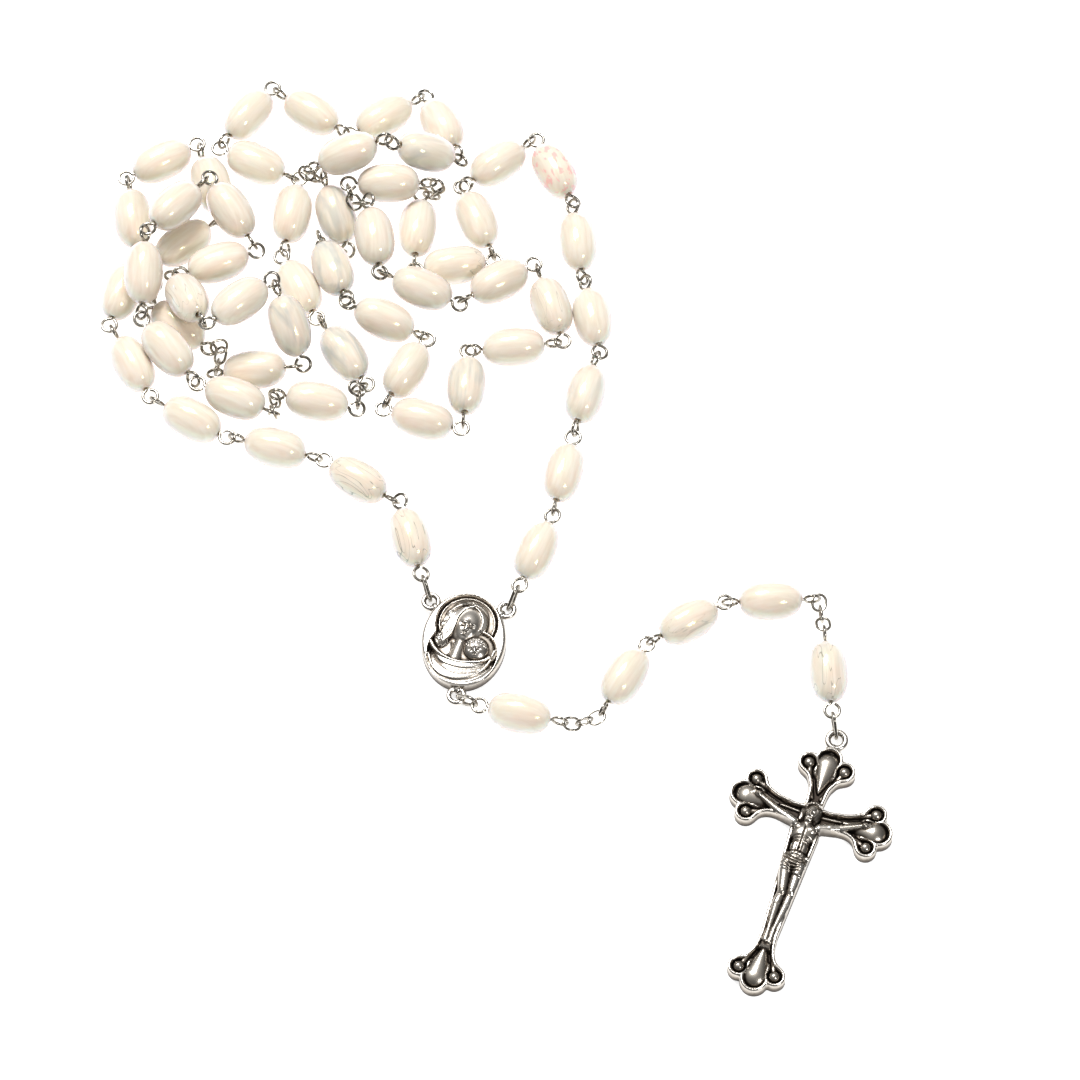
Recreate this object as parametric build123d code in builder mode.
from build123d import *
import math
import os

import numpy as np

os.makedirs("parts", exist_ok=True)

# A five-decade rosary lying on a table: oval shell beads on wire eye pins, short link chains beside
# the single beads, a centre medal where the loop closes, and a pendant that ends in a crucifix.
# Millimetres, +Z up from the table, +Y along the rosary from the crucifix towards the loop.

# ---- driving dimensions -------------------------------------------------------------------------
BEAD_LENGTH = 9.6
BEAD_DIAMETER = 6.0
BEAD_END_DIAMETER = 3.5      # the blunt ends, before their edge is rounded
BEAD_EDGE_RADIUS = 0.9
BEAD_HOLE_DIAMETER = 1.0

WIRE = 0.24                  # wire radius of the eye pins
EYE_RADIUS = 1.13            # centre of an eye to the middle of its wire
EYE_NECK_RADIUS = 0.36       # bend where the shaft turns into the eye
EYE_GAP = 0.03               # bead end to the outside of the eye
EYE_MOUTH = 24               # degrees left open where the loop comes back to its own shaft

LINK_RADIUS = 1.00           # round end of an oval link, to the middle of its wire
LINK_STRAIGHT = 0.60         # straight side of an oval link
LINK_WIRE = 0.22
RING_RADIUS = 1.00           # the jump rings at the medal and the crucifix
RING_STRAIGHT = 1.90
RING_WIRE = 0.28
MEDAL_LUG_RADIUS = 1.15      # the cast lugs, to the middle of their metal
MEDAL_LUG_WIRE = 0.42
CRUCIFIX_LUG_RADIUS = 1.35
CRUCIFIX_LUG_WIRE = 0.50

MEDAL_HALF_WIDTH = 6.35
MEDAL_HALF_HEIGHT = 7.80
MEDAL_FIELD = 1.50           # thickness behind the figures
MEDAL_RIM = 2.20             # thickness at the rim
MEDAL_RIM_WIDTH = 0.70
MEDAL_LUG_SPREAD = 5.75      # upper lugs, to each side of the middle
MEDAL_LUG_RISE = 6.00
MEDAL_LUG_DROP = 9.00        # lower lug, below the middle

CRUCIFIX_FIELD = 1.40
CRUCIFIX_RIM = 2.20
CRUCIFIX_RIM_WIDTH = 0.45
CRUCIFIX_TOP = 11.15         # from the crossing to each end
CRUCIFIX_ARM = 12.60
CRUCIFIX_FOOT = 29.95
BUD_SETBACK = 3.30           # from an end back to the pair of buds
BUD_SPREAD = 2.75
BUD_LOBE = 1.65              # outline around each bud
BUD_BALL = 0.92
PETAL_LOBE = 2.10            # outline around the tip of each petal
PETAL_HALF_WIDTH = 1.85
PETAL_LENGTH = 5.40
CRUCIFIX_LUG_RISE = 12.80

EYE_OFFSET = BEAD_LENGTH / 2 + EYE_GAP + WIRE + EYE_RADIUS
CLEARANCE = 0.10             # air left between neighbours when the heap is laid out
LINKS_IN_A_CHAIN = 3

# ---- where each bead lies: (x, y, height of its middle, heading in degrees) ----------------------
DECADE_1 = [(-19.5, -1, 3, 105), (-27, 8.5, 3, 145), (-40, 14.5, 3, 160), (-52.5, 20, 3, 150),
            (-62, 29, 3, 115), (-63.5, 41, 3, 65), (-61.5, 53.5, 3, 95), (-57.5, 63.5, 3.5, 30),
            (-50.5, 59.5, 4, -75), (-54.5, 51, 3, -145)]
OUR_FATHER_1 = [(-52.5, 36, 3, -25)]
DECADE_2 = [(-40, 29.5, 4, 0), (-35.5, 34, 5, 115), (-42.5, 36, 7, -125), (-49.5, 41.5, 3, 130),
            (-46.5, 43, 8.5, -20), (-40.5, 49, 3.5, 110), (-47, 51, 4, -150), (-56, 40, 8, -120),
            (-56, 30, 4, -50), (-46.5, 22, 5.5, -20)]
OUR_FATHER_2 = [(-34.5, 24, 3, -10)]
DECADE_3 = [(-29.5, 31.5, 3, 100), (-34.5, 42.5, 3.5, 115), (-37, 55, 3, 95), (-43.5, 62.5, 4.5, 160),
            (-45.5, 70.5, 3, 50), (-36.5, 71.5, 3, -30), (-24.5, 70, 3, 20), (-14.5, 68.5, 3, -55),
            (-18, 62.5, 4.5, 165), (-28.5, 61.5, 4.5, -150)]
OUR_FATHER_3 = [(-31, 54, 3, -60)]
DECADE_4 = [(-28, 43, 3, -65), (-20, 33.5, 3.5, -35), (-19, 26, 3, -130), (-16.5, 19, 4, 0),
            (-11, 26, 3.5, 95), (-4, 30, 3, -25), (1.5, 34, 4, 105), (-6.5, 39, 3, -150),
            (-18.5, 38, 5.5, 150), (-25.5, 47.5, 8.5, 100)]
OUR_FATHER_4 = [(-22.5, 57, 5, -5)]
DECADE_5 = [(-19.5, 52, 4, -120), (-19, 45.5, 3, -10), (-13.5, 50.5, 3, 90), (-9, 59.5, 3, 60),
            (-1, 60, 3, -55), (4.5, 50.5, 3, -80), (6.5, 37.5, 3, -80), (6.5, 24, 3, -100),
            (3.5, 9.5, 3, -105), (-0.5, -3.5, 3, -115)]
PENDANT_FIRST = [(-2.5, -33, 3, -10)]
PENDANT_THREE = [(14, -23.5, 3, 65), (22.5, -15, 3, 30), (35, -11, 3, 10)]
PENDANT_LAST = [(43, -22.5, 3, -90)]

# the cast pieces: (x, y) of the middle of the medal and of the crossing, and how far they lean
MEDAL_AT = (-11.4, -17.6)
MEDAL_LEAN = -7
CRUCIFIX_AT = (40.2, -46.0)
CRUCIFIX_LEAN = -18.5


def on_casting(at, lean, x, y, z):
    """A point given in a casting's own frame, on the table."""
    turn = math.radians(lean)
    return (at[0] + x * math.cos(turn) - y * math.sin(turn),
            at[1] + x * math.sin(turn) + y * math.cos(turn), z)


MEDAL_LUG_HEIGHT = MEDAL_RIM / 2
CRUCIFIX_LUG_HEIGHT = CRUCIFIX_RIM / 2
LUG_LEFT = on_casting(MEDAL_AT, MEDAL_LEAN, -MEDAL_LUG_SPREAD, MEDAL_LUG_RISE, MEDAL_LUG_HEIGHT)
LUG_RIGHT = on_casting(MEDAL_AT, MEDAL_LEAN, MEDAL_LUG_SPREAD, MEDAL_LUG_RISE, MEDAL_LUG_HEIGHT)
LUG_LOWER = on_casting(MEDAL_AT, MEDAL_LEAN, 0, -MEDAL_LUG_DROP, MEDAL_LUG_HEIGHT)
LUG_CRUCIFIX = on_casting(
    CRUCIFIX_AT, CRUCIFIX_LEAN, 0, CRUCIFIX_LUG_RISE, CRUCIFIX_LUG_HEIGHT
)


# ---- the chain, piece by piece -------------------------------------------------------------------
# A turn of 0 lays a loop flat, 90 stands it upright. Jump rings stand upright in flat lugs and eyes,
# and down the pendant the loops alternate, so that each one swings about an upright wire.
TURNS = tuple(range(0, 180, 15))
FLAT, UPRIGHT = (0,), (90,)
PENDANT_TURNS = [
    FLAT, UPRIGHT, FLAT, UPRIGHT, FLAT, UPRIGHT, FLAT, UPRIGHT, FLAT, UPRIGHT,
    FLAT, UPRIGHT, UPRIGHT, FLAT, UPRIGHT, FLAT, UPRIGHT, FLAT, UPRIGHT, FLAT,
]


class Piece:
    """A rigid piece of the chain: a loop at each end, the same loop twice for a link or a ring."""

    def __init__(self, name, kind, middle, heading, half, radius, wire=WIRE, fixed=False):
        turn = math.radians(heading)
        loops = 2 if kind == "pin" else 1
        self.turns = [{"lug": FLAT, "ring": UPRIGHT}.get(kind, TURNS)] * loops
        reach = half * np.array([math.cos(turn), math.sin(turn), 0.0])
        self.name, self.kind, self.half, self.fixed = name, kind, half, fixed
        self.radius, self.wire = radius, wire
        self.ends = np.array([middle - reach, middle + reach])


def bead_row(name, places):
    return [
        Piece(f"{name}_{i + 1:02d}", "pin", np.array([x, y, z]), heading, EYE_OFFSET, EYE_RADIUS)
        for i, (x, y, z, heading) in enumerate(places)
    ]


def small_links(name, before, after, count, kind, radius, straight, wire):
    """Links strung between the loops that the pieces before and after them turn to each other."""
    start, stop = before.ends[1], after.ends[0]
    heading = math.degrees(math.atan2(stop[1] - start[1], stop[0] - start[0]))
    shares = [(i + 1) / (count + 1) for i in range(count)]
    return [
        Piece(f"{name}_{i + 1}", kind, start + (stop - start) * s, heading, straight / 2, radius, wire)
        for i, s in enumerate(shares)
    ]


def chain_links(name, before, after):
    return small_links(
        name, before, after, LINKS_IN_A_CHAIN, "link", LINK_RADIUS, LINK_STRAIGHT, LINK_WIRE
    )


def jump_ring(name, before, after):
    return small_links(name, before, after, 1, "ring", RING_RADIUS, RING_STRAIGHT, RING_WIRE)


def medal_lug(name, place):
    return Piece(
        name, "lug", np.array(place), 0, 0, MEDAL_LUG_RADIUS, MEDAL_LUG_WIRE, fixed=True
    )


def crucifix_lug(name, place):
    return Piece(
        name, "lug", np.array(place), 0, 0, CRUCIFIX_LUG_RADIUS, CRUCIFIX_LUG_WIRE, fixed=True
    )


def string_up(rows, joints):
    """Rows of pieces in order, with the small links of each joint strung between two rows."""
    strung = list(rows[0])
    for (name, make), row in zip(joints, rows[1:]):
        strung += make(name, strung[-1], row[0]) + row
    return strung


LOOP = string_up(
    [[medal_lug("lug_left", LUG_LEFT)], bead_row("decade_1", DECADE_1),
     bead_row("our_father_1", OUR_FATHER_1), bead_row("decade_2", DECADE_2),
     bead_row("our_father_2", OUR_FATHER_2), bead_row("decade_3", DECADE_3),
     bead_row("our_father_3", OUR_FATHER_3), bead_row("decade_4", DECADE_4),
     bead_row("our_father_4", OUR_FATHER_4), bead_row("decade_5", DECADE_5),
     [medal_lug("lug_right", LUG_RIGHT)]],
    [("medal_ring_left", jump_ring), ("chain_1_in", chain_links), ("chain_1_out", chain_links),
     ("chain_2_in", chain_links), ("chain_2_out", chain_links), ("chain_3_in", chain_links),
     ("chain_3_out", chain_links), ("chain_4_in", chain_links), ("chain_4_out", chain_links),
     ("medal_ring_right", jump_ring)],
)
PENDANT = string_up(
    [[medal_lug("lug_lower", LUG_LOWER)], bead_row("pendant_first", PENDANT_FIRST),
     bead_row("pendant_three", PENDANT_THREE), bead_row("pendant_last", PENDANT_LAST),
     [crucifix_lug("lug_crucifix", LUG_CRUCIFIX)]],
    [("medal_ring_lower", jump_ring), ("pendant_link_a", chain_links),
     ("pendant_link_b", chain_links), ("crucifix_ring", jump_ring)],
)
PENDANT_LOOPS = iter(PENDANT_TURNS)
for piece in PENDANT:
    piece.turns = [next(PENDANT_LOOPS) for _ in piece.turns]
PIECES = LOOP + PENDANT


# ---- laying the chain out ------------------------------------------------------------------------
# The beads above are where the chain is dropped. From there the pieces are moved until each pin has
# its real length, each loop hooks its neighbour, and nothing is inside anything else or the table.
PULL_STEPS = 300             # steps that still pull the pieces towards where they were dropped
REST_STEPS = 400             # steps that only close gaps and clear overlaps
PULL = 0.12
SINK = 0.02                  # how far a step lets a piece fall
LOOP_PLAY = 0.35             # how far a loop's tip may be from the middle of the loop it hooks
BEAD_BALLS = (-3.9, -2.9, -1.95, -1.0, 0.0, 1.0, 1.95, 2.9, 3.9)

BEAD_RISE = (BEAD_DIAMETER - BEAD_END_DIAMETER) / 2
BEAD_ARC_RADIUS = ((BEAD_LENGTH / 2) ** 2 + BEAD_RISE**2) / (2 * BEAD_RISE)


def bead_radius_at(along):
    return BEAD_DIAMETER / 2 - BEAD_ARC_RADIUS + math.sqrt(BEAD_ARC_RADIUS**2 - along**2)


def balls_of(piece):
    """Balls that fill a piece, as (share of the way from its first loop to its last, radius)."""
    loop = piece.radius + piece.wire
    if piece.kind != "pin":
        return [(0.5, loop + 0.6 * piece.half)]
    ends = [(0.0, loop), (1.0, loop)]
    return ends + [
        (0.5 + t / (2 * piece.half), min(bead_radius_at(t), BEAD_LENGTH / 2 + 0.75 - abs(t)))
        for t in BEAD_BALLS
    ]


class Heap:
    """The positions of every loop centre, and the rules that move them."""

    def __init__(self, pieces, chains):
        self.pieces = pieces
        self.start = np.array([p.ends for p in pieces])
        self.at = self.start.copy()
        self.half = np.array([p.half for p in pieces])
        self.fixed = np.array([p.fixed for p in pieces])
        starts = np.cumsum([0] + [len(c) for c in chains])
        self.joins = [
            (a + i, a + i + 1) for a, c in zip(starts, chains) for i in range(len(c) - 1)
        ]
        self.make_balls()
        self.make_joins()

    def make_joins(self):
        """One of two hooked loops reaches with its tip to the middle of the other, whichever suits."""
        self.before = np.array([i for i, _ in self.joins])
        self.after = np.array([j for _, j in self.joins])
        first = [self.pieces[i] for i in self.before]
        second = [self.pieces[j] for j in self.after]
        self.lead = np.array([p.radius for p in first])
        self.trail = np.array([q.radius for q in second])
        turns = [(p.turns[-1], q.turns[0]) for p, q in zip(first, second)]
        self.may_lead = np.array([t != FLAT and u != UPRIGHT for t, u in turns])
        self.may_trail = np.array([u != FLAT and t != UPRIGHT for t, u in turns])

    def make_balls(self):
        rows = [
            (i, share, radius, p.kind != "pin" or share in (0.0, 1.0))
            for i, p in enumerate(self.pieces)
            for share, radius in balls_of(p)
        ]
        self.owner = np.array([r[0] for r in rows])
        self.share = np.array([r[1] for r in rows])
        self.radius = np.array([r[2] for r in rows])
        self.is_loop = np.array([r[3] for r in rows])
        one, other = np.triu_indices(len(rows), 1)
        hooked = np.zeros((len(self.pieces),) * 2, int)
        for i, j in self.joins:
            hooked[i, j] = hooked[j, i] = 1
        second = ((hooked @ hooked) > 0) & (hooked == 0)
        a, b = self.owner[one], self.owner[other]
        loops = self.is_loop[one].astype(int) + self.is_loop[other]
        neighbours, next_but_one = hooked[a, b] > 0, second[a, b]
        keep = (a != b) & ~(neighbours & (loops == 2))
        room = self.radius[one] + self.radius[other] + CLEARANCE
        room = np.where(neighbours & (loops == 1), room - 0.55, room)
        room = np.where(next_but_one & (loops == 2), 0.72 * room, room)
        self.one, self.other, self.room = one[keep], other[keep], room[keep]

    def balls(self):
        share = self.share[:, None]
        return self.at[self.owner, 0] * (1 - share) + self.at[self.owner, 1] * share

    def near_pairs(self):
        balls = self.balls()
        apart = np.linalg.norm(balls[self.other] - balls[self.one], axis=1)
        near = apart < self.room + 1.5
        return self.one[near], self.other[near], self.room[near]

    def keep_lengths(self):
        along = self.at[:, 1] - self.at[:, 0]
        length = np.linalg.norm(along, axis=1, keepdims=True)
        change = (length - 2 * self.half[:, None]) / 2 * along / np.maximum(length, 1e-9)
        self.at[:, 0] += change
        self.at[:, 1] -= change

    def keep_hooked(self):
        along = self.at[:, 1] - self.at[:, 0]
        along /= np.maximum(np.linalg.norm(along, axis=1, keepdims=True), 1e-9)
        gap = self.at[self.after, 0] - self.at[self.before, 1]
        lead = gap - self.lead[:, None] * along[self.before]
        trail = gap - self.trail[:, None] * along[self.after]
        lead_miss = np.where(self.may_lead, np.linalg.norm(lead, axis=1), np.inf)
        trail_miss = np.where(self.may_trail, np.linalg.norm(trail, axis=1), np.inf)
        miss = np.where((lead_miss < trail_miss)[:, None], lead, trail)
        size = np.minimum(lead_miss, trail_miss)
        change = (np.maximum(size - LOOP_PLAY, 0) / np.maximum(size, 1e-9))[:, None] * miss / 2
        np.add.at(self.at, (self.before, 1), change)
        np.add.at(self.at, (self.after, 0), -change)

    def push_apart(self, one, other, room):
        balls = self.balls()
        gap = balls[other] - balls[one]
        length = np.linalg.norm(gap, axis=1)
        hit = length < room
        if not hit.any():
            return
        push = ((room - length) / np.maximum(length, 1e-6))[:, None] * gap * 0.5
        change, count = np.zeros_like(self.at), np.zeros(len(self.at))
        for ball, sign in ((one[hit], -1), (other[hit], 1)):
            first, second = 1 - self.share[ball], self.share[ball]
            scale = first**2 + second**2
            piece = self.owner[ball]
            np.add.at(change, (piece, 0), sign * push[hit] * (first / scale)[:, None])
            np.add.at(change, (piece, 1), sign * push[hit] * (second / scale)[:, None])
            np.add.at(count, piece, 1)
        self.at += 1.3 * change / np.maximum(count, 1)[:, None, None]

    def stay_on_table(self):
        low = np.maximum(self.radius - self.balls()[:, 2], 0)
        first, second = 1 - self.share, self.share
        scale = first**2 + second**2
        lift = np.zeros((len(self.at), 2))
        np.maximum.at(lift, (self.owner, 0), low * first / scale)
        np.maximum.at(lift, (self.owner, 1), low * second / scale)
        self.at[:, :, 2] += lift

    def settle(self, steps, pull, sink):
        for step in range(steps):
            if step % 15 == 0:
                near = self.near_pairs()
            fading = 1 - step / steps
            self.at += (self.start - self.at) * np.array([1, 1, 0.5]) * pull * fading
            self.at[:, :, 2] -= sink * fading
            for _ in range(4):
                self.at[self.fixed] = self.start[self.fixed]
                self.keep_lengths()
                self.keep_hooked()
                self.push_apart(*near)
                self.stay_on_table()
        self.at[self.fixed] = self.start[self.fixed]


heap = Heap(PIECES, [LOOP, PENDANT])
heap.settle(PULL_STEPS, PULL, SINK)
heap.settle(REST_STEPS, 0.0, SINK / 10)

# ---- how each loop is turned about its own shaft -------------------------------------------------
# In the heap each loop takes the turn that leaves the most air between it and its neighbour.
ENOUGH_AIR = 0.30            # more than this between two hooked wires counts for nothing
OUTLINE_POINTS = 14          # to each half of a loop, and to each straight side


def directions(index):
    """Along a piece, level across it, and square to both."""
    along = heap.at[index, 1] - heap.at[index, 0]
    if heap.half[index] == 0:
        along = np.array([1.0, 0.0, 0.0])
    along = along / np.linalg.norm(along)
    across = np.cross([0, 0, 1], along)
    across = across / np.linalg.norm(across)
    return along, across, np.cross(along, across)


class Loop:
    """One closed loop of wire: an eye of a pin, or a whole link, ring or lug."""

    def __init__(self, index, end, turns):
        piece = PIECES[index]
        self.index, self.end, self.turns = index, end, turns
        self.radius, self.wire = piece.radius, piece.wire
        self.along, self.across, self.over = directions(index)
        eye = piece.kind == "pin"
        self.middle = heap.at[index, end] if eye else heap.at[index].mean(axis=0)
        self.half = 0.0 if eye else piece.half
        self.bead = heap.at[index].mean(axis=0) if eye else None

    def beside(self, turn):
        angle = math.radians(turn)
        return math.cos(angle) * self.across + math.sin(angle) * self.over

    def outline(self, turn):
        bend = np.linspace(-math.pi / 2, math.pi / 2, OUTLINE_POINTS)
        side = np.linspace(self.half, -self.half, OUTLINE_POINTS)
        along = [self.half + self.radius * np.cos(bend), side]
        beside = [self.radius * np.sin(bend), np.full(OUTLINE_POINTS, self.radius)]
        s, t = np.concatenate(along), np.concatenate(beside)
        s, t = np.concatenate([s, -s]), np.concatenate([t, -t])
        return self.middle + np.outer(s, self.along) + np.outer(t, self.beside(turn))

    def threads(self, curve, turn):
        """Does a closed curve pass through this loop an odd number of times?"""
        beside = self.beside(turn)
        height = (curve - self.middle) @ np.cross(self.along, beside)
        after, rise = np.roll(curve, -1, axis=0), np.roll(height, -1)
        cross = (height > 0) != (rise > 0)
        share = height[cross] / (height[cross] - rise[cross])
        point = curve[cross] + (after[cross] - curve[cross]) * share[:, None] - self.middle
        s, t = point @ self.along, point @ beside
        s = s - np.clip(s, -self.half, self.half)
        return (np.hypot(s, t) < self.radius).sum() % 2 == 1


def air_to_bead(curve, wire, loop):
    """The least gap between a wire's middle line and the bead on another loop's pin."""
    if loop.bead is None:
        return math.inf
    offset = curve - loop.bead
    along = np.abs(offset @ loop.along)
    aside = np.sqrt(np.maximum((offset**2).sum(axis=1) - along**2, 0))
    inside = np.minimum(along, BEAD_LENGTH / 2)
    bulge = BEAD_DIAMETER / 2 - BEAD_ARC_RADIUS + np.sqrt(BEAD_ARC_RADIUS**2 - inside**2)
    gap = np.hypot(along - inside, np.maximum(aside - bulge, 0))
    return gap.min() - wire


def air_between(one, turn, other, other_turn):
    """The gap between two hooked loops, or -1 when the wires don't pass through each other."""
    first, second = one.outline(turn), other.outline(other_turn)
    if not one.threads(second, turn):
        return -1.0
    apart = np.linalg.norm(first[:, None] - second[None], axis=2).min()
    return min(
        apart - one.wire - other.wire,
        air_to_bead(first, one.wire, other),
        air_to_bead(second, other.wire, one),
    )


def loops_of(first, pieces):
    """The loops of one strand in order."""
    return [
        Loop(first + i, end, turns)
        for i, piece in enumerate(pieces)
        for end, turns in enumerate(piece.turns)
    ]


def best_turns(loops):
    """Choose every loop's turn at once, so that the hooked pairs have the most air in all."""
    score, came_from = [np.zeros(len(loops[0].turns))], []
    for before, loop in zip(loops, loops[1:]):
        if before.index == loop.index:
            gain = np.zeros((len(before.turns), len(loop.turns)))
        else:
            air = [[air_between(before, a, loop, b) for b in loop.turns] for a in before.turns]
            gain = np.minimum(np.array(air), ENOUGH_AIR)
            gain = np.where(gain < CLEARANCE / 2, 20 * (gain - ENOUGH_AIR), gain)
        total = score[-1][:, None] + gain
        came_from.append(total.argmax(axis=0))
        score.append(total.max(axis=0))
    pick = [int(score[-1].argmax())]
    for back in reversed(came_from):
        pick.append(int(back[pick[-1]]))
    return [loop.turns[k] for loop, k in zip(loops, reversed(pick))]


FIRST_STRAND, SECOND_STRAND = loops_of(0, LOOP), loops_of(len(LOOP), PENDANT)
LOOPS = FIRST_STRAND + SECOND_STRAND
PICKED = best_turns(FIRST_STRAND) + best_turns(SECOND_STRAND)


# ---- easing the hooked loops clear of each other -------------------------------------------------
EASE_STEPS = 240
WIRE_AIR = 0.13              # aimed at between any two wires, and between a wire and a bead
NEAR_LOOPS = 6.0
NEAR_BEADS = 10.0


class Wires:
    """The real outline of every loop, which the last steps keep clear of the others and the beads."""

    def __init__(self, heap, loops, turns):
        self.heap = heap
        self.piece = np.array([loop.index for loop in loops])
        self.eye = np.array([PIECES[i].kind == "pin" for i in self.piece])
        self.end = np.array([loop.end for loop in loops])
        self.half = np.array([loop.half for loop in loops])
        self.radius = np.array([loop.radius for loop in loops])
        self.wire = np.array([loop.wire for loop in loops])
        self.turn = np.radians(np.array(turns, float))
        self.can_turn = np.array([len(loop.turns) > 1 for loop in loops])
        self.flat = [self.flat_outline(h, r) for h, r in zip(self.half, self.radius)]
        self.flat = np.array(self.flat)
        self.pins = np.array([i for i, p in enumerate(PIECES) if p.kind == "pin"])

    @staticmethod
    def flat_outline(half, radius):
        bend = np.linspace(-math.pi / 2, math.pi / 2, OUTLINE_POINTS)
        side = np.linspace(half, -half, OUTLINE_POINTS)
        s = np.concatenate([half + radius * np.cos(bend), side])
        t = np.concatenate([radius * np.sin(bend), np.full(OUTLINE_POINTS, radius)])
        return np.stack([np.concatenate([s, -s]), np.concatenate([t, -t])], axis=1)

    def place(self):
        at = self.heap.at
        along = at[:, 1] - at[:, 0]
        along[self.heap.half == 0] = [1.0, 0.0, 0.0]
        along /= np.linalg.norm(along, axis=1, keepdims=True)
        across = np.cross([0, 0, 1], along)
        across /= np.linalg.norm(across, axis=1, keepdims=True)
        self.axis, self.bead = along, at.mean(axis=1)
        self.along = along[self.piece]
        over = np.cross(self.along, across[self.piece])
        cos, sin = np.cos(self.turn)[:, None], np.sin(self.turn)[:, None]
        self.beside = cos * across[self.piece] + sin * over
        self.normal = np.cross(self.along, self.beside)
        middle = at.mean(axis=1)[self.piece]
        ends = at[self.piece, self.end]
        self.middle = np.where(self.eye[:, None], ends, middle)
        self.points = (
            self.middle[:, None]
            + self.flat[:, :, :1] * self.along[:, None]
            + self.flat[:, :, 1:] * self.beside[:, None]
        )

    def find_near(self):
        one, other = np.triu_indices(len(self.piece), 1)
        apart = np.linalg.norm(self.middle[one] - self.middle[other], axis=1)
        keep = (apart < NEAR_LOOPS) & (self.piece[one] != self.piece[other])
        self.one, self.other = one[keep], other[keep]
        loop, pin = np.meshgrid(np.arange(len(self.piece)), self.pins, indexing="ij")
        loop, pin = loop.ravel(), pin.ravel()
        apart = np.linalg.norm(self.middle[loop] - self.bead[pin], axis=1)
        keep = (apart < NEAR_BEADS) & (self.piece[loop] != pin)
        self.by_bead, self.near_pin = loop[keep], pin[keep]

    def move(self, loops, points, push):
        """Shift the pieces of some loops so that the given points on them move by push."""
        at, piece = self.heap.at, self.piece[loops]
        base, span = at[piece, 0], at[piece, 1] - at[piece, 0]
        length = np.maximum((span**2).sum(axis=1), 1e-9)
        share = np.clip(((points - base) * span).sum(axis=1) / length, -1, 2)
        share = np.where(self.heap.half[piece] == 0, 0.5, share)
        first, second = 1 - share, share
        scale = first**2 + second**2
        np.add.at(self.change, (piece, 0), push * (first / scale)[:, None])
        np.add.at(self.change, (piece, 1), push * (second / scale)[:, None])
        np.add.at(self.count, piece, 1)
        reach = ((points - self.middle[loops]) * self.beside[loops]).sum(axis=1)
        spin = (push * self.normal[loops]).sum(axis=1) * reach / (reach**2 + self.radius[loops] ** 2)
        np.add.at(self.spin, loops, np.where(self.can_turn[loops], spin, 0.0))

    def clear_wires(self):
        first, second = self.points[self.one], self.points[self.other]
        gaps = np.linalg.norm(first[:, :, None] - second[:, None], axis=3)
        size = gaps.shape[1]
        nearest = gaps.reshape(len(gaps), -1).argmin(axis=1)
        rows = np.arange(len(gaps))
        p, q = first[rows, nearest // size], second[rows, nearest % size]
        gap = np.linalg.norm(q - p, axis=1)
        short = self.wire[self.one] + self.wire[self.other] + WIRE_AIR - gap
        hit = short > 0
        push = (q - p)[hit] / np.maximum(gap[hit], 1e-6)[:, None] * short[hit, None] / 2
        self.move(self.one[hit], p[hit], -push)
        self.move(self.other[hit], q[hit], push)
        return short.max() - WIRE_AIR

    def clear_beads(self):
        points, pin = self.points[self.by_bead], self.near_pin
        offset = points - self.bead[pin][:, None]
        along = (offset * self.axis[pin][:, None]).sum(axis=2)
        outward = offset - along[:, :, None] * self.axis[pin][:, None]
        aside = np.linalg.norm(outward, axis=2)
        inside = np.clip(along, -BEAD_LENGTH / 2, BEAD_LENGTH / 2)
        bulge = BEAD_DIAMETER / 2 - BEAD_ARC_RADIUS + np.sqrt(BEAD_ARC_RADIUS**2 - inside**2)
        beyond = np.abs(along - inside)
        depth = np.where(beyond > 0, np.hypot(beyond, np.maximum(aside - bulge, 0)), aside - bulge)
        deepest = depth.argmin(axis=1)
        rows = np.arange(len(depth))
        short = self.wire[self.by_bead] + WIRE_AIR - depth[rows, deepest]
        hit = short > 0
        point = points[rows, deepest][hit]
        side = outward[rows, deepest][hit] / np.maximum(aside[rows, deepest][hit], 1e-6)[:, None]
        past = (along - inside)[rows, deepest][hit]
        way = side + np.sign(past)[:, None] * self.axis[pin[hit]]
        way /= np.linalg.norm(way, axis=1, keepdims=True)
        push = way * short[hit, None] / 2
        self.move(self.by_bead[hit], point, push)
        np.add.at(self.change, (pin[hit], 0), -push)
        np.add.at(self.change, (pin[hit], 1), -push)
        np.add.at(self.count, pin[hit], 1)
        return short.max() - WIRE_AIR

    def ease(self, steps):
        for step in range(steps):
            self.place()
            if step % 20 == 0:
                self.find_near()
                near = self.heap.near_pairs()
            self.change = np.zeros_like(self.heap.at)
            self.count = np.zeros(len(self.heap.at))
            self.spin = np.zeros(len(self.piece))
            worst = max(self.clear_wires(), self.clear_beads())
            self.heap.at += 1.2 * self.change / np.maximum(self.count, 1)[:, None, None]
            self.turn += self.spin
            for _ in range(3):
                self.heap.at[self.heap.fixed] = self.heap.start[self.heap.fixed]
                self.heap.keep_lengths()
                self.heap.push_apart(*near)
                self.heap.stay_on_table()
            self.heap.keep_lengths()
            self.heap.at[self.heap.fixed] = self.heap.start[self.heap.fixed]
        self.place()
        return worst


wires = Wires(heap, LOOPS, PICKED)
wires.ease(EASE_STEPS)


# ---- beads, pins, links and rings, each about its own middle with +X along the chain --------------
def make_bead():
    end, hole = BEAD_END_DIAMETER / 2, BEAD_HOLE_DIAMETER / 2
    with BuildPart() as bead:
        with BuildSketch(Plane.XY) as profile:
            with BuildLine():
                crown = ThreePointArc(
                    (-BEAD_LENGTH / 2, end), (0, BEAD_DIAMETER / 2), (BEAD_LENGTH / 2, end)
                )
                Polyline(crown @ 1, (BEAD_LENGTH / 2, hole), (-BEAD_LENGTH / 2, hole), crown @ 0)
            make_face()
            fillet(profile.vertices().group_by(Axis.Y)[-1], BEAD_EDGE_RADIUS)
        revolve(axis=Axis.X)
    return bead.part


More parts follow.
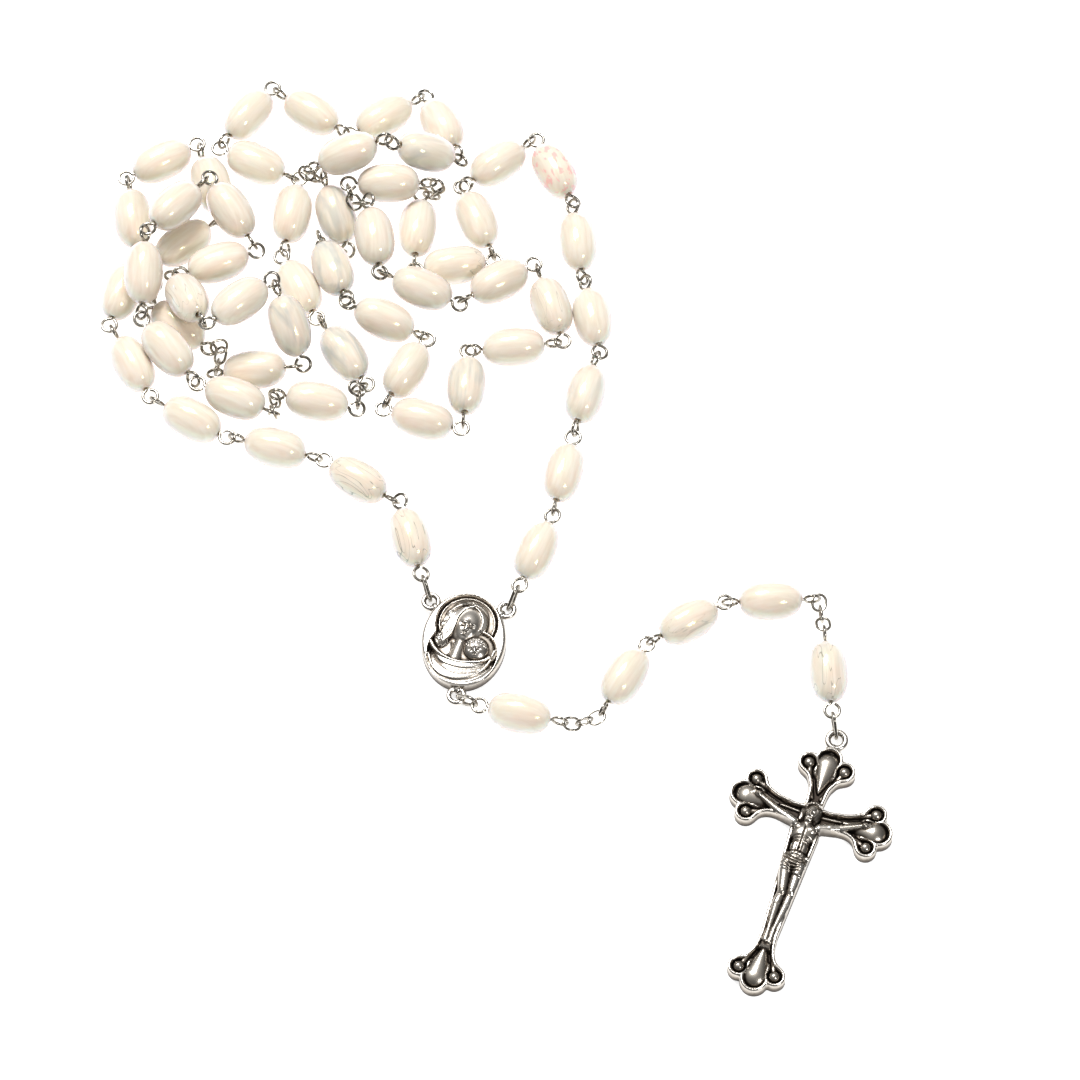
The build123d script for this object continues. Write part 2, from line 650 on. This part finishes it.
def eye_wire(way, turn):
    """From the middle of the bead out along the shaft: shaft, neck and an eye turned about it."""
    reach = math.sqrt(EYE_RADIUS**2 + 2 * EYE_RADIUS * EYE_NECK_RADIUS)
    bend = math.degrees(math.atan2(EYE_NECK_RADIUS, reach))
    shoulder = EYE_OFFSET - reach
    turned = Plane(origin=(0, 0, 0), x_dir=(way, 0, 0), z_dir=(0, -math.sin(turn), math.cos(turn)))
    with BuildLine(turned) as wire:
        Line((0, 0), (shoulder, 0))
        CenterArc((shoulder, -EYE_NECK_RADIUS), EYE_NECK_RADIUS, 90, bend - 90)
        CenterArc((EYE_OFFSET, 0), EYE_RADIUS, 180 + bend, 360 - EYE_MOUTH - bend)
    return wire.edges()


def make_pin(first_turn, last_turn):
    path = Wire(eye_wire(-1, first_turn) + eye_wire(1, last_turn))
    with BuildPart() as pin:
        with BuildSketch(Plane(origin=path @ 0, z_dir=path % 0)):
            Circle(WIRE)
        sweep(path=path)
    return pin.part


def make_link(radius, straight, wire_radius):
    """A closed oval link lying flat."""
    with BuildPart() as link:
        with BuildLine(Plane.XY) as wire:
            Line((0, radius), (straight / 2, radius))
            bend = CenterArc((straight / 2, 0), radius, 90, -180)
            Line(bend @ 1, (0, -radius))
        with BuildSketch(Plane.YZ):
            with Locations((radius, 0)):
                Circle(wire_radius)
        sweep(path=wire.wires()[0])
        mirror(about=Plane.YZ)
    return link.part


BEAD = make_bead()
LINK = make_link(LINK_RADIUS, LINK_STRAIGHT, LINK_WIRE)
RING = make_link(RING_RADIUS, RING_STRAIGHT, RING_WIRE)
NAMES = [piece.name for piece in PIECES]
LOOP_TURNS = {(int(i), int(e)): float(t) for i, e, t in zip(wires.piece, wires.end, wires.turn)}


def place_of(index):
    along, _, over = directions(index)
    return Plane(origin=tuple(heap.at[index].mean(axis=0)), x_dir=tuple(along), z_dir=tuple(over))


def placed(index, what):
    """The solid for one piece of the chain, where it lies: its bead, or its pin, link or ring."""
    if what == "bead":
        shape, turn = BEAD, 0.0
    elif PIECES[index].kind == "pin":
        shape, turn = make_pin(LOOP_TURNS[index, 0], LOOP_TURNS[index, 1]), 0.0
    else:
        shape = LINK if PIECES[index].kind == "link" else RING
        turn = math.degrees(LOOP_TURNS[index, 0])
    return place_of(index).location * Rot(turn, 0, 0) * shape


def gather(names, what):
    """Several pieces of the chain as separate solids of one part."""
    solids = [placed(NAMES.index(name), what) for name in names]
    with BuildPart() as group:
        for solid in solids:
            add(solid)
    return group


def numbered(name, count):
    return [f"{name}_{i + 1:02d}" for i in range(count)]


def chain(name):
    return [f"{name}_{i + 1}" for i in range(LINKS_IN_A_CHAIN)]


# ---- shared by the two castings ------------------------------------------------------------------
def mound(x, y, z, half_width, half_length, rise, lean=0):
    """A smooth swelling with its centre at height z, leaning counter-clockwise."""
    with BuildPart() as swell:
        Sphere(1)
        scale(by=(half_width, half_length, rise))
    return Pos(x, y, z) * Rot(0, 0, lean) * swell.part


def limb(start, stop, first, last):
    """A tapered round limb with rounded ends."""
    start, stop = Vector(*start), Vector(*stop)
    length = (stop - start).length
    with BuildPart() as shape:
        with BuildSketch(Plane.XZ):
            with BuildLine():
                heel = CenterArc((0, 0), first, -90, 90)
                toe = CenterArc((0, length), last, 0, 90)
                Line(heel @ 1, toe @ 0)
                Line(toe @ 1, heel @ 0)
            make_face()
        revolve(axis=Axis.Z)
    return Plane(origin=start, z_dir=stop - start).location * shape.part


def lug(x, y, z, radius, wire_radius):
    with Locations((x, y, z)):
        Torus(radius, wire_radius)


# ---- the centre medal: a mother and child in low relief, polished oval rim, three lugs --------------
MEDAL_FIGURES = [
    mound(0.25, 3.05, MEDAL_FIELD, 3.25, 3.5, 0.75, -10),       # veil
    mound(-2.5, 1.9, MEDAL_FIELD, 1.2, 3.1, 0.70, -20),         # hair down to the shoulder
    mound(-3.3, -0.4, MEDAL_FIELD, 1.15, 1.6, 0.75, 14),
    mound(0.30, 2.55, MEDAL_FIELD, 1.95, 2.9, 1.25, -12),       # her face
    limb((-0.5, 0.4, 1.5), (-1.0, -2.6, 1.2), 0.95, 1.15),      # neck
    mound(-1.6, -2.4, MEDAL_FIELD, 3.1, 2.3, 0.5),
    mound(2.05, -1.4, MEDAL_FIELD, 1.9, 1.95, 1.25, 8),         # the child's head
    mound(-0.1, -4.5, MEDAL_FIELD, 4.3, 2.2, 0.85),             # mantle
    limb((-4.3, -1.9, 1.5), (-1.0, -3.7, 1.75), 0.45, 0.6),
    limb((-1.0, -3.7, 1.75), (3.9, -2.9, 1.5), 0.6, 0.45),
]

with BuildPart() as medal_casting:
    with BuildSketch() as medal_outline:
        Ellipse(MEDAL_HALF_WIDTH, MEDAL_HALF_HEIGHT)
    extrude(amount=MEDAL_RIM)
    fillet(medal_casting.faces().sort_by(Axis.Z)[-1].edges(), 0.45)
    with BuildSketch(Plane.XY.offset(MEDAL_RIM)) as medal_field:
        Ellipse(MEDAL_HALF_WIDTH - MEDAL_RIM_WIDTH, MEDAL_HALF_HEIGHT - MEDAL_RIM_WIDTH)
    extrude(amount=MEDAL_FIELD - MEDAL_RIM, mode=Mode.SUBTRACT)
    lug(-MEDAL_LUG_SPREAD, MEDAL_LUG_RISE, MEDAL_LUG_HEIGHT, MEDAL_LUG_RADIUS, MEDAL_LUG_WIRE)
    lug(MEDAL_LUG_SPREAD, MEDAL_LUG_RISE, MEDAL_LUG_HEIGHT, MEDAL_LUG_RADIUS, MEDAL_LUG_WIRE)
    lug(0, -MEDAL_LUG_DROP, MEDAL_LUG_HEIGHT, MEDAL_LUG_RADIUS, MEDAL_LUG_WIRE)
    with Locations((0.15, 2.75, MEDAL_FIELD)):
        Torus(4.15, 0.20)
    with Locations((2.15, -1.35, MEDAL_FIELD)):
        Torus(2.75, 0.18)
    for shape in MEDAL_FIGURES:
        add(shape)


# ---- the crucifix: budded arms with a recessed field, and a corpus in half relief -------------------
def make_petal(reach):
    """The smooth petal and two budded balls on their stems at one end of an arm."""
    middle = reach - 1.1 - PETAL_LENGTH / 2
    shapes = [mound(0, middle, CRUCIFIX_FIELD, PETAL_HALF_WIDTH, PETAL_LENGTH / 2, 1.15)]
    for side in (-1, 1):
        shapes += [
            Pos(side * BUD_SPREAD, reach - BUD_SETBACK, CRUCIFIX_FIELD + 0.15) * Sphere(BUD_BALL),
            limb(
                (side * BUD_SPREAD, reach - BUD_SETBACK, CRUCIFIX_FIELD),
                (side * 0.6, reach - 8.6, CRUCIFIX_FIELD), 0.38, 0.30,
            ),
        ]
    with BuildPart() as petal:
        for shape in shapes:
            add(shape)
    return petal.part


ENDS = [(0, CRUCIFIX_TOP), (90, CRUCIFIX_ARM), (180, CRUCIFIX_FOOT), (270, CRUCIFIX_ARM)]
PETALS = [Rot(0, 0, turn) * make_petal(reach) for turn, reach in ENDS]
CORPUS = [
    limb((0, -22.0, 1.5), (0, -20.0, 1.9), 0.9, 0.6),           # block under the feet
    limb((-0.35, -20.6, 2.3), (-0.35, -14.4, 2.2), 0.45, 0.78),
    limb((0.4, -20.9, 2.1), (0.45, -14.2, 2.3), 0.45, 0.78),
    limb((-0.45, -14.4, 2.2), (-0.95, -9.0, 1.9), 0.8, 1.05),   # thighs
    limb((0.5, -14.2, 2.3), (0.95, -9.0, 1.9), 0.8, 1.05),
    mound(0, -8.6, 1.6, 2.1, 1.7, 1.5),                         # loincloth
    mound(1.7, -9.6, 1.6, 0.75, 1.8, 1.0, -8),
    mound(0, -6.2, 1.6, 1.4, 2.3, 1.25),
    mound(0, -3.6, 1.6, 1.85, 2.2, 1.45),                       # chest
    mound(-0.1, -1.4, 1.9, 0.7, 1.2, 0.8),
    mound(0.1, 0.1, 2.1, 1.15, 1.7, 1.25, -12),                 # head
    mound(0.1, 0.3, 1.8, 1.4, 2.05, 0.95, -12),                 # hair
]
for side in (-1, 1):
    CORPUS += [
        limb((side * 1.6, -2.3, 2.0), (side * 4.8, -0.8, 1.8), 0.7, 0.5),
        limb((side * 4.8, -0.8, 1.8), (side * 7.4, 0.15, 1.7), 0.5, 0.36),
        mound(side * 8.0, 0.25, 1.6, 0.75, 0.5, 1.25),
    ]

with BuildPart() as crucifix_casting:
    with BuildSketch() as crucifix_outline:
        Polygon((-1.35, -3), (1.35, -3), (1.35, 3), (-1.35, 3), align=None)
        Polygon((-2.4, -3.0), (-1.15, -22.5), (1.15, -22.5), (2.4, -3.0), align=None)
        Polygon((-7.5, -1.2), (-1.5, -2.4), (1.5, -2.4), (7.5, -1.2), (7.5, 1.2), (-7.5, 1.2),
                align=None)
        for turn, reach in ENDS:
            with Locations(Rot(0, 0, turn)):
                with Locations((0, reach - PETAL_LOBE)):
                    Circle(PETAL_LOBE)
                with Locations((-BUD_SPREAD, reach - BUD_SETBACK), (BUD_SPREAD, reach - BUD_SETBACK)):
                    Circle(BUD_LOBE)
                Polygon((-1.2, reach - 9), (1.2, reach - 9), (2.0, reach - 3.6), (1.2, reach - 1.6),
                        (-1.2, reach - 1.6), (-2.0, reach - 3.6), align=None)
        offset(amount=0.55)
        offset(amount=-0.55)
    extrude(amount=CRUCIFIX_RIM)
    with BuildSketch(Plane.XY.offset(CRUCIFIX_RIM)) as crucifix_field:
        add(crucifix_outline.sketch)
        offset(amount=-CRUCIFIX_RIM_WIDTH)
    extrude(amount=CRUCIFIX_FIELD - CRUCIFIX_RIM, mode=Mode.SUBTRACT)
    lug(0, CRUCIFIX_LUG_RISE, CRUCIFIX_LUG_HEIGHT, CRUCIFIX_LUG_RADIUS, CRUCIFIX_LUG_WIRE)
    for shape in PETALS + CORPUS:
        add(shape)

# ---- the middle of everything goes over the origin --------------------------------------------------
MEDAL_PLACE = Pos(*MEDAL_AT, 0) * Rot(0, 0, MEDAL_LEAN)
CRUCIFIX_PLACE = Pos(*CRUCIFIX_AT, 0) * Rot(0, 0, CRUCIFIX_LEAN)
solids = [placed(i, "bead") for i, piece in enumerate(PIECES) if piece.kind == "pin"]
solids += [MEDAL_PLACE * medal_casting.part, CRUCIFIX_PLACE * crucifix_casting.part]
boxes = [solid.bounding_box() for solid in solids]
low, high = (
    [op(getattr(getattr(box, corner), axis) for box in boxes) for axis in "XY"]
    for op, corner in ((min, "min"), (max, "max"))
)
TO_MIDDLE = Vector(-(low[0] + high[0]) / 2, -(low[1] + high[1]) / 2, 0)
heap.at += np.array([TO_MIDDLE.X, TO_MIDDLE.Y, 0])
MEDAL_PLACE = Pos(TO_MIDDLE) * MEDAL_PLACE
CRUCIFIX_PLACE = Pos(TO_MIDDLE) * CRUCIFIX_PLACE


# ---- one file for each named piece ---------------------------------------------------------------
def save(node, name):
    node.part.label = name
    export_step(node.part, f"parts/{name}.step")


with BuildPart() as centre_medal:
    add(MEDAL_PLACE * medal_casting.part)
save(centre_medal, "centre_medal")

with BuildPart() as crucifix:
    add(CRUCIFIX_PLACE * crucifix_casting.part)
save(crucifix, "crucifix")

for side in ("left", "right", "lower"):
    save(gather([f"medal_ring_{side}_1"], "wire"), f"medal_ring_{side}")
save(gather(["crucifix_ring_1"], "wire"), "crucifix_ring")

FATHERS = [f"our_father_{i + 1}_01" for i in range(4)]
for i in range(5):
    save(gather(numbered(f"decade_{i + 1}", 10), "wire"), f"decade_{i + 1}_eye_pins")
save(gather(FATHERS, "wire"), "our_father_eye_pins")
for i in range(4):
    links = chain(f"chain_{i + 1}_in") + chain(f"chain_{i + 1}_out")
    save(gather(links, "wire"), f"connector_chain_{i + 1}")

for decade in (2, 3, 4):
    save(gather(numbered(f"decade_{decade}", 10), "bead"), f"decade_{decade}_beads")
for i, name in enumerate(FATHERS):
    save(gather([name], "bead"), f"our_father_bead_{i + 1}")
for decade in (1, 5):
    for i, name in enumerate(numbered(f"decade_{decade}", 10)):
        save(gather([name], "bead"), f"decade_{decade}_bead_{i + 1:02d}")

PENDANT_BEADS = ["pendant_first_01"] + numbered("pendant_three", 3) + ["pendant_last_01"]
for i, name in enumerate(PENDANT_BEADS):
    save(gather([name], "wire"), f"pendant_pin_{i + 1}")
    save(gather([name], "bead"), f"pendant_bead_{i + 1}")
for i, name in enumerate(chain("pendant_link_a") + chain("pendant_link_b")):
    save(gather([name], "wire"), f"pendant_link_{i + 1}")
